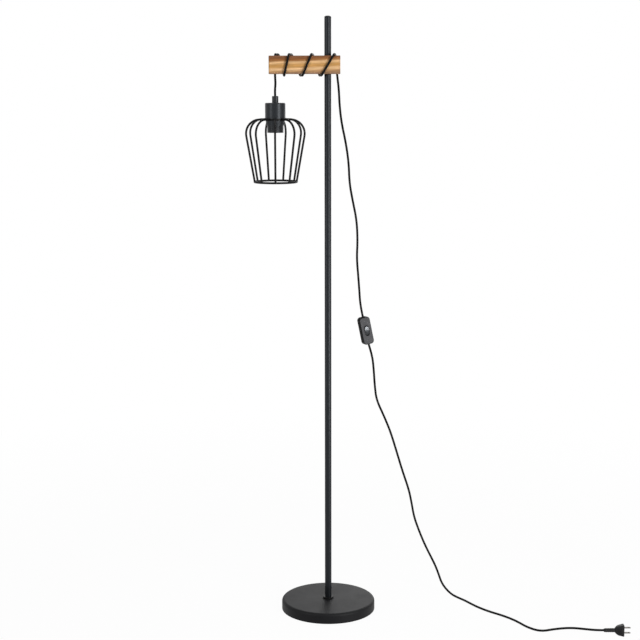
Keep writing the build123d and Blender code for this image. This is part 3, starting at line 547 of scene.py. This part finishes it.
plugRoute = [  # from the switch to the floor and the plug
    (0.0986, 0.0460, 0.6713), (0.1102, 0.0460, 0.6331), (0.1138, 0.0500, 0.5990), (0.1168, 0.0570, 0.5560),
    (0.1214, 0.0625, 0.5200), (0.1390, 0.0665, 0.4810), (0.1571, 0.0705, 0.4370), (0.1729, 0.0750, 0.3850),
    (0.1889, 0.0805, 0.3310), (0.2059, 0.0850, 0.2810), (0.2136, 0.0885, 0.2430), (0.2197, 0.0910, 0.2080),
    (0.2345, 0.0950, 0.1660), (0.2520, 0.0990, 0.1240), (0.2751, 0.1030, 0.0780), (0.2853, 0.1055, 0.0510),
    (0.2932, 0.1075, 0.0270), (0.3045, 0.1010, 0.0115), (0.3175, 0.0860, 0.0028), (0.3290, 0.0645, 0.0028),
    (0.3470, 0.0402, 0.0028), (0.3720, -0.0042, 0.0028), (0.4000, -0.0390, 0.0028),
    (0.4310, -0.0672, 0.0028), (0.4580, -0.1008, 0.0028), (0.4820, -0.1482, 0.0028),
    (0.5100, -0.1725, 0.0028), (0.5450, -0.1622, 0.0050), (0.5830, -0.1660, 0.0095),
    (0.6170, -0.1840, 0.0125), (0.6390, -0.1940, 0.0140), (0.6600, -0.1940, 0.0140)]
cordRoute = holeRoute + windingRoute + switchRoute + plugRoute
cordLine = splineLine("cordRoute", cordRoute)
cord = cordTube("mains_cord", cordLine)
settle(cord, None, "cord_black", ("cord_winding", "cord_upper", "cord_lower"))

pendantRoute = [(-0.1250, 0.0, 1.3262), (-0.1250, 0.0, 1.3160), (-0.1240, 0.0004, 1.3010),
                (-0.1257, 0.0, 1.2850), (-0.1250, 0.0, 1.2692)]
pendantLine = splineLine("pendantRoute", pendantRoute)
pendantCord = cordTube("pendant_lead", pendantLine)
settle(pendantCord, "pendant", "cord_black", ("pendant_cord",))

leadShape = {"topGap": 0.001, "straight": 0.015, "sway": 0.0004}
leadLow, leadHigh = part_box("head_lead")
leadX = (leadLow.x + leadHigh.x) / 2
leadRoute = [(leadX, 0, leadHigh.z - leadShape["topGap"]), (leadX, 0, leadHigh.z - leadShape["straight"]),
             (leadX + leadShape["sway"], 0, leadLow.z + leadShape["straight"]), (leadX, 0, leadLow.z)]
headLead = cordTube("inner_lead", splineLine("leadRoute", leadRoute))
settle(headLead, "head", "cord_black", ("head_lead",))
print("cords: main %.3f m, pendant %.4f m" % (lineLength(cordLine), lineLength(pendantLine)))


# Pole: tubes with a fine chamfer at each joint, and the domed cap

poleShape = {"radius": 0.0082, "wall": 0.0012, "chamfer": 0.0004, "sides": 72}


def tubeProfile(shape, low, high):
    radius, chamfer = shape["radius"], shape["chamfer"]
    bore, lip = radius - shape["wall"], radius - chamfer
    return [(bore, low), (lip, low), (radius, low + chamfer),
            (radius, high - chamfer), (lip, high), (bore, high)]


for nodeName in ("pole_lower", "pole_middle", "pole_upper", "pole_top_tube"):
    low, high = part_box(nodeName)
    tube = lathe(nodeName + "_skin", tubeProfile(poleShape, low.z, high.z), poleShape["sides"])
    settle(tube, "stand", "pole_black", (nodeName,))

capShape = {"radius": 0.0082, "dome": 0.004, "lip": 0.0006, "plugRadius": 0.0069, "domeSteps": 10}


def capProfile(shape, low, high):
    radius, lip, dome = shape["radius"], shape["lip"], shape["dome"]
    seat = high - dome
    profile = [(0.0, low), (shape["plugRadius"], low), (shape["plugRadius"], seat),
               (radius - lip / 2, seat), (radius, seat + lip)]
    for step in range(1, shape["domeSteps"] + 1):
        t = math.radians(90 * step / shape["domeSteps"])
        rise = lip + (dome - lip) * math.sin(t)
        profile.append((radius * math.cos(t), seat + rise))
    return profile


capLow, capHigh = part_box("pole_cap")
cap = lathe("pole_cap_dome", capProfile(capShape, capLow.z, capHigh.z), poleShape["sides"], closed=False)
settle(cap, "stand", "pole_black", ("pole_cap",))
print("pole: 4 tubes and the cap")


# Cage: nine bent wires, the bottom ring and the weld beads

headX = -0.125  # upright axis of the lamp head
cageShape = {"foot": 1.06885, "wire": 0.00255, "count": 9, "firstAngle": -89, "start": (0.0240, 0.1480),
             "shoulder": (0.0773, 0.1491), "end": (0.0507, 0.0), "bend": 0.033, "bendSteps": 14,
             "sides": 14, "ringSides": 96}


def bentWire(shape):  # straight, round the shoulder, straight
    start, corner, end = (Vector(shape[spot]) for spot in ("start", "shoulder", "end"))
    inward, outward = (start - corner).normalized(), (end - corner).normalized()
    half = inward.angle(outward) / 2
    reach = shape["bend"] / math.tan(half)
    middle = corner + (inward + outward).normalized() * shape["bend"] / math.sin(half)
    first, last = corner + inward * reach - middle, corner + outward * reach - middle
    sweep = last.angle_signed(first)
    points = [start, (start + middle + first) / 2]
    for i in range(shape["bendSteps"] + 1):
        points.append(middle + Matrix.Rotation(sweep * i / shape["bendSteps"], 2) @ first)
    points += [(middle + last + end) / 2, end]
    return [Vector((point.x, 0, point.y)) for point in points]


wire = loft("cage_wires", tubeLoops(bentWire(cageShape), cageShape["wire"], cageShape["sides"]))
roundTheCage = {"Count": cageShape["count"], "First Angle": math.radians(cageShape["firstAngle"]),
                "Middle": (headX, 0, cageShape["foot"]), "Finish": finishes["wirePaint"]}
wires = grow("cage_wires", copiesRound, roundTheCage, wire)
wireNodes = ["cage_wire_%d" % (i + 1) for i in range(cageShape["count"])]
settle(wires, "head", "head_black", wireNodes, "wirePaint")

ringRadius = cageShape["end"][0]
ringProfile = arc((ringRadius, cageShape["foot"]), cageShape["wire"], 0, 360, cageShape["sides"])[:-1]
bottomRing = lathe("cage_ring", ringProfile, cageShape["ringSides"], (headX, 0))
settle(bottomRing, "head", "head_black", ("cage_bottom_ring",), "wirePaint")

weldShape = {"ringBead": (0.0028, 0.0032, 0.0032), "ringOffset": (-0.0004, 0.0006),
             "collarBead": (0.0085, 0.0034, 0.0030), "collarReach": 0.0285, "rows": 6, "sides": 10}


def bead(width, height, depth):  # small flattened blob of weld
    loops = []
    for row in range(weldShape["rows"] + 1):
        t = math.radians(-90 + 180 * row / weldShape["rows"])
        wide, deep, rise = width * math.cos(t), depth * math.cos(t), height * math.sin(t)
        turns = turnsRound(weldShape["sides"])
        loops.append([Vector((wide * math.cos(a), deep * math.sin(a), rise)) for a in turns])
    return loops


offsetIn, offsetUp = weldShape["ringOffset"]
beadPlaces = ((weldShape["ringBead"], ringRadius + offsetIn, offsetUp),
              (weldShape["collarBead"], weldShape["collarReach"], cageShape["start"][1]))
beads = [loft("bead", bead(*size), place=Matrix.Translation((reach, 0, height)))
         for size, reach, height in beadPlaces]
welds = grow("cage_welds", copiesRound, roundTheCage, joined("cage_welds", beads))
settle(welds, "head", "head_black", finish="wirePaint")
print("cage: %d wires" % cageShape["count"])


# Lampholder: thread on the skirt and in the shell, grip ribs on the shade ring

threadShapes = {
    "skirt_thread": {"node": "lampholder_body", "slot": "holder_black", "aboveFoot": 0.004,
                     "sizes": {"Turns": 4.5, "Radius": 0.0195, "Rise": 0.0126, "Ridge": 0.0003}},
    "shell_thread": {"node": "screw_shell", "slot": "bush_brass", "aboveFoot": 0.0015,
                     "sizes": {"Turns": 4.6, "Radius": 0.0133, "Rise": 0.0166, "Ridge": 0.0007}},
}
for threadName, shape in threadShapes.items():
    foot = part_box(shape["node"])[0].z
    thread = grow(threadName, threadRidge, {
        **shape["sizes"], "Start": (headX, 0, foot + shape["aboveFoot"]),
        "Finish": finishes[finishOfSlot[shape["slot"]]]})
    settle(thread, "head", shape["slot"])

ribShape = {"count": 48, "topRadius": 0.0230, "footRadius": 0.0210, "proud": 0.0003, "half": 0.0006,
            "shoulder": 0.7, "sunk": 0.0003, "margin": 0.0012,
            "swells": ((0.0, 0.2), (0.12, 1.0), (0.88, 1.0), (1.0, 0.2))}  # share of the height, fullness


def ringRib(shape, low, high):
    proud, half, shoulder, sunk = (shape[k] for k in ("proud", "half", "shoulder", "sunk"))
    section = ((proud, 0), (shoulder * proud, shoulder * half), (-sunk, half), (-sunk, -half),
               (shoulder * proud, -shoulder * half))
    top, foot = high - shape["margin"], low + shape["margin"]
    loops = []
    for t, swell in shape["swells"]:
        height = foot + (top - foot) * t
        part = (height - low) / (high - low)
        radius = shape["footRadius"] + (shape["topRadius"] - shape["footRadius"]) * part
        loops.append([Vector((radius + x * swell, y * swell, height)) for x, y in section])
    return loops


shadeLow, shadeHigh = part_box("shade_ring")
rib = loft("ring_ribs", ringRib(ribShape, shadeLow.z, shadeHigh.z))
ribs = grow("ring_ribs", copiesRound, {"Count": ribShape["count"], "First Angle": 0.0,
                                       "Middle": (headX, 0, 0), "Finish": finishes["headPaint"]}, rib)
settle(ribs, "head", "head_black")
print("lampholder: threads and %d ribs" % ribShape["count"])


# In-line switch: front shell with a raised frame, the crowned rocker and the screws

roundGap = 1e-5  # keeps the two corners of a round end just apart


def slab(width, length, corner, depth):  # one outline of the switch at a depth, face to -Y
    return [Vector((x, -depth, z)) for x, z in outline(width, length, corner)]


def framedFace(shape):
    width, length, corner, edge, half = (shape[k] for k in ("width", "length", "corner", "edge", "half"))
    groove, proud = shape["groove"], shape["frameProud"]
    loops = []
    for depth in (0.0, groove):
        loops.append(slab(width - 2 * groove, length - 2 * groove, corner - groove, depth))
    loops.append(slab(width, length, corner, 2 * groove))
    for inset, rise in arc((edge, half - edge), edge, 180, 90):
        loops.append(slab(width - 2 * inset, length - 2 * inset, corner - inset, rise))
    frameWide, frameLong = shape["frame"]
    openWide, openLong = shape["opening"]
    levels = [(t, half + share * proud) for t, share in shape["frameRise"]] + [(1.0, shape["recess"])]
    for t, depth in levels:
        wide = frameWide + (openWide - frameWide) * t
        long = frameLong + (openLong - frameLong) * t
        loops.append(slab(wide, long, wide / 2 - roundGap, depth))
    return loops


frontShell = loft("switch_face", framedFace(switchShape), place=switchPlace)
settle(frontShell, "stand", "switch_black", ("switch_front_shell",))

rockerShape = {"width": 0.011, "length": 0.024, "stand": 0.012, "body": 0.005, "crown": 0.0016,
               "apex": 0.003, "tilt": 6.0, "pivot": 0.005, "round": 0.0006, "rows": 12, "rowPower": 1.6,
               "crest": 0.0002, "sharp": 50}


def crownedRocker(shape):
    width, length, top = shape["width"], shape["length"], shape["stand"]
    loops = [slab(width, length, width / 2 - roundGap, top - shape["body"])]
    for i in range(shape["rows"] + 1):
        inset = (width / 2 - shape["crest"]) * (i / shape["rows"]) ** shape["rowPower"]
        edge = shape["round"] * max(0.0, 1 - inset / shape["round"]) ** 2
        row = slab(width - 2 * inset, length - 2 * inset, width / 2 - inset - roundGap, 0.0)
        for point in row:
            point.y = -(top - edge - shape["crown"] * ((point.z - shape["apex"]) / (length / 2)) ** 2)
        loops.append(row)
    return loops


pivot = Matrix.Translation((0, -rockerShape["pivot"], 0))
tipped = pivot @ Matrix.Rotation(math.radians(rockerShape["tilt"]), 4, "X") @ pivot.inverted()
rocker = loft("switch_rocker_cap", crownedRocker(rockerShape), sharp=rockerShape["sharp"],
              place=switchPlace @ tipped)
settle(rocker, "rocker", "switch_black", ("switch_rocker",), "rockerPlastic")

screwShape = {"spot": (0.009, 0.023), "tip": -0.006, "seat": 0.0084, "face": 0.010, "shank": 0.0014,
              "head": 0.0022, "round": 0.0003, "slot": (0.0013, 0.00035), "slotDepth": 0.0011}


def crossedScrew(shape):
    long, half = shape["slot"]
    cross = []
    for turn in range(4):
        quarter = Matrix.Rotation(math.radians(90 * turn), 2)
        cross += [quarter @ Vector(spot) for spot in ((long, -half), (long, 0), (long, half), (half, half))]
    facing = [math.atan2(spot.y, spot.x) for spot in cross]
    shank, head, seat, face = (shape[k] for k in ("shank", "head", "seat", "face"))
    turned = ((shank, shape["tip"]), (shank, seat), (head, seat), (head, face - shape["round"]),
              (head - shape["round"], face))
    loops = [[Vector((radius * math.cos(a), depth, radius * math.sin(a))) for a in facing]
             for radius, depth in turned]
    for depth in (face, face - shape["slotDepth"]):
        loops.append([Vector((spot.x, depth, spot.y)) for spot in cross])
    return loops


screwX, screwZ = screwShape["spot"]
screwTurn = switchPlace.to_3x3()
screw = loft("switch_screw_pair", crossedScrew(screwShape), place=screwTurn.to_4x4())
screws = grow("switch_screw_pair", copiesInRow, {
    "Count": 2, "Step": screwTurn @ Vector((-2 * screwX, 0, -2 * screwZ)),
    "Start": switchPlace @ Vector((screwX, 0, screwZ)), "Finish": finishes["zincSteel"]}, screw)
screws.data.set_sharp_from_angle(angle=math.radians(meshing["sharp"]))
settle(screws, "stand", "fixing_steel", ("switch_screws",))
print("switch: face, rocker and screws")


# Plug: moulded body with grip ribs, ribbed relief, blades with their holes

plugShape = {
    "entry": (0.656, -0.194, 0.014), "sharp": 40,
    "stations": (  # distance along, half height, half depth, corner
        (0.0256, 0.0045, 0.0044, 0.0043), (0.0260, 0.0054, 0.0052, 0.0050),
        (0.0270, 0.0064, 0.0060, 0.0054), (0.0286, 0.0081, 0.0071, 0.0056),
        (0.0305, 0.0095, 0.0079, 0.0052), (0.0325, 0.0107, 0.0083, 0.0046),
        (0.0350, 0.0116, 0.0085, 0.0040), (0.0375, 0.0121, 0.0085, 0.0036),
        (0.0400, 0.0126, 0.0085, 0.0032), (0.0420, 0.0131, 0.0085, 0.0030),
        (0.0440, 0.0137, 0.0085, 0.0030), (0.0455, 0.0140, 0.0085, 0.0030),
        (0.0469, 0.0140, 0.0085, 0.0030), (0.0475, 0.0136, 0.0081, 0.0026)),
}
plugEntry = Vector(plugShape["entry"])
plugPlace = Matrix.Translation(plugEntry)
alongX = Matrix.Rotation(math.radians(90), 4, "Y")
plugLoops = [[Vector((x, y, z)) for y, z in outline(2 * deep, 2 * tall, corner)]
             for x, tall, deep, corner in plugShape["stations"]]
plugBody = loft("plug_moulding", plugLoops, sharp=plugShape["sharp"], place=plugPlace)

gripShape = {"count": 6, "start": 0.0325, "step": 0.0016, "half": 0.0062, "proud": 0.00045, "depth": 0.0085,
             "spots": (-1, -0.9, 0, 0.9, 1), "sides": 8}
gripBars = []
for side in (-1, 1):
    line = [Vector((0, side * gripShape["depth"], gripShape["half"] * t)) for t in gripShape["spots"]]
    gripBars.append(loft("bar", tubeLoops(line, gripShape["proud"], gripShape["sides"])))
gripRibs = grow("plug_grip_ribs", copiesInRow, {
    "Count": gripShape["count"], "Step": (gripShape["step"], 0, 0),
    "Start": plugEntry + Vector((gripShape["start"], 0, 0)),
    "Finish": finishes["plugPlastic"]}, joined("plug_grip_ribs", gripBars))
settle(plugBody, "stand", "plug_black", ("plug_body",))
settle(gripRibs, "stand", "plug_black")

reliefShape = {"length": 0.026, "radius": (0.0043, 0.0048), "bore": 0.0028, "edge": 0.0006, "sides": 40,
               "ribs": 4, "ribLong": 0.0028, "ribProud": 0.0004, "ribSunk": 0.0008, "ribShoulder": 0.4,
               "ribFlat": 0.6}


def reliefProfile(shape):
    (low, high), bore, edge, length = (shape[k] for k in ("radius", "bore", "edge", "length"))
    return [(bore, 0.0), (low - edge, 0.0), (low, edge), (high, length), (bore, length)]


def reliefRib(shape):
    radius = sum(shape["radius"]) / 2
    half, proud = shape["ribLong"] / 2, shape["ribProud"]
    root, shoulder, crest = radius - shape["ribSunk"], radius + shape["ribShoulder"] * proud, radius + proud
    flat = shape["ribFlat"] * half
    return [(root, -half), (shoulder, -half), (crest, -flat), (crest, flat), (shoulder, half), (root, half)]


relief = lathe("plug_relief_core", reliefProfile(reliefShape), reliefShape["sides"],
               place=plugPlace @ alongX)
reliefStep = Vector((reliefShape["length"] / (reliefShape["ribs"] + 1), 0, 0))
reliefRing = lathe("plug_relief_ribs", reliefRib(reliefShape), reliefShape["sides"], place=alongX)
reliefRibs = grow("plug_relief_ribs", copiesInRow, {
    "Count": reliefShape["ribs"], "Step": reliefStep, "Start": plugEntry + reliefStep,
    "Finish": finishes["plugPlastic"]}, reliefRing)
settle(relief, "stand", "plug_black", ("plug_relief",))
settle(reliefRibs, "stand", "plug_black")

bladeShape = {"spacing": 0.0127, "thick": 0.0015, "wide": 0.0063, "start": 0.0471, "tip": 0.0635,
              "corner": 0.0018, "cornerSteps": 8, "hole": 0.0016, "holeAt": 0.0592}


def bladeLoops(shape, middleZ):
    long = shape["tip"] - shape["start"]
    middle = (shape["start"] + shape["tip"]) / 2
    rounded = outline(shape["wide"], long, shape["corner"], shape["cornerSteps"])
    edge = [(middle + y, x) for x, y in rounded]
    hole = []
    for i in range(len(edge)):  # even steps round the hole, as many as the edge has points
        angle = math.radians(90) - 2 * math.pi * (i + 0.5) / len(edge)
        hole.append((shape["holeAt"] + shape["hole"] * math.cos(angle), shape["hole"] * math.sin(angle)))
    up, down = middleZ + shape["thick"] / 2, middleZ - shape["thick"] / 2
    levels = ((edge, up), (edge, down), (hole, down), (hole, up))
    return [[Vector((x, y, z)) for x, y in loop] for loop, z in levels]


blades = [loft("blade", bladeLoops(bladeShape, side * bladeShape["spacing"] / 2), True, place=plugPlace)
          for side in (-1, 1)]
blades = settle(joined("plug_pins", blades), "stand", "blade_metal", ("plug_blades",))
print("plug: body, relief and blades")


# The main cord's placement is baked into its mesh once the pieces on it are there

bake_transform(cord)


# Floor, world and soft lights

studio = {
    "floorHalf": 40.0, "floorTone": "f4f4f4", "floorRough": 0.9, "floorGloss": 0.1, "ambient": 0.2,
    "nearWhite": 0.96, "fade": (0.8, 2.2),  # the floor turns from nearly white to white over this reach
    "lights": (  # name, place, aim, size, watts
        ("rightPanel", (1.69, -1.885, 1.28), (0, 0, 0.95), (0.5, 2.0), 48.0),
        ("rightLow", (1.88, -1.69, 0.14), (0, 0, 0.1), (0.5, 0.26), 15.0),
        ("leftPanel", (-2.25, -1.82, 1.15), (0, 0, 0.85), (0.85, 2.2), 22.0),
        ("backPanel", (0.8, 2.7, 1.5), (0, 0, 0.9), (1.8, 2.0), 22.0),
        ("topPanel", (0.2, -0.3, 3.2), (0, 0, 0), (1.6, 1.6), 14.0)),
}


def brightRays(tree):  # camera, glossy and transmission rays see the white surroundings
    path = addNode(tree, "ShaderNodeLightPath")
    mirrored = addMath(tree, "MAXIMUM", path.outputs["Is Glossy Ray"], path.outputs["Is Transmission Ray"])
    return addMath(tree, "MAXIMUM", path.outputs["Is Camera Ray"], mirrored)


world = bpy.data.worlds.new("studioWorld")
scene.world = world
world.use_nodes = True
skyTree = world.node_tree
background = skyTree.nodes["Background"]
background.inputs["Color"].default_value = (1, 1, 1, 1)
skyLevel = addRange(skyTree, brightRays(skyTree), (0.0, 1.0), (studio["ambient"], 1.0))
skyTree.links.new(skyLevel, background.inputs["Strength"])

half = studio["floorHalf"]
floorCorners = [(-half, -half, 0), (half, -half, 0), (half, half, 0), (-half, half, 0)]
floorMesh = bpy.data.meshes.new("studioFloor")
floorMesh.from_pydata(floorCorners, [], [(0, 1, 2, 3)])
floor = newObject("studioFloor", floorMesh)
floorFinish, floorTree, floorShader = newMaterial("paleFloor")
floorShader.inputs["Base Color"].default_value = colour(studio["floorTone"])
floorShader.inputs["Roughness"].default_value = studio["floorRough"]
floorShader.inputs["Specular IOR Level"].default_value = studio["floorGloss"]
floorPlace = addNode(floorTree, "ShaderNodeTexCoord").outputs["Object"]
floorReach = addVector(floorTree, "LENGTH", floorPlace, output="Value")
whiteShare = addRange(floorTree, floorReach, studio["fade"], (studio["nearWhite"], 1.0))
glow = addNode(floorTree, "ShaderNodeEmission", {"Color": (1, 1, 1, 1), "Strength": 1.0})
seen = addMath(floorTree, "MULTIPLY", brightRays(floorTree), whiteShare)
lit = addNode(floorTree, "ShaderNodeMixShader", {0: seen, 1: floorShader.outputs[0], 2: glow.outputs[0]})
under = addNode(floorTree, "ShaderNodeNewGeometry").outputs["Backfacing"]
clear = addNode(floorTree, "ShaderNodeBsdfTransparent")
sided = addNode(floorTree, "ShaderNodeMixShader", {0: under, 1: lit.outputs[0], 2: clear.outputs[0]})
floorTree.links.new(sided.outputs[0], floorTree.nodes["Material Output"].inputs["Surface"])
floorMesh.materials.append(floorFinish)

for name, place, aim, size, power in studio["lights"]:
    lamp = bpy.data.lights.new(name, "AREA")
    lamp.shape = "RECTANGLE"
    lamp.size, lamp.size_y = size
    lamp.energy = power
    holder = newObject(name, lamp)
    holder.location = place
    holder.rotation_euler = (Vector(aim) - Vector(place)).to_track_quat("-Z", "Y").to_euler()
print("studio: floor and %d lights" % len(studio["lights"]))
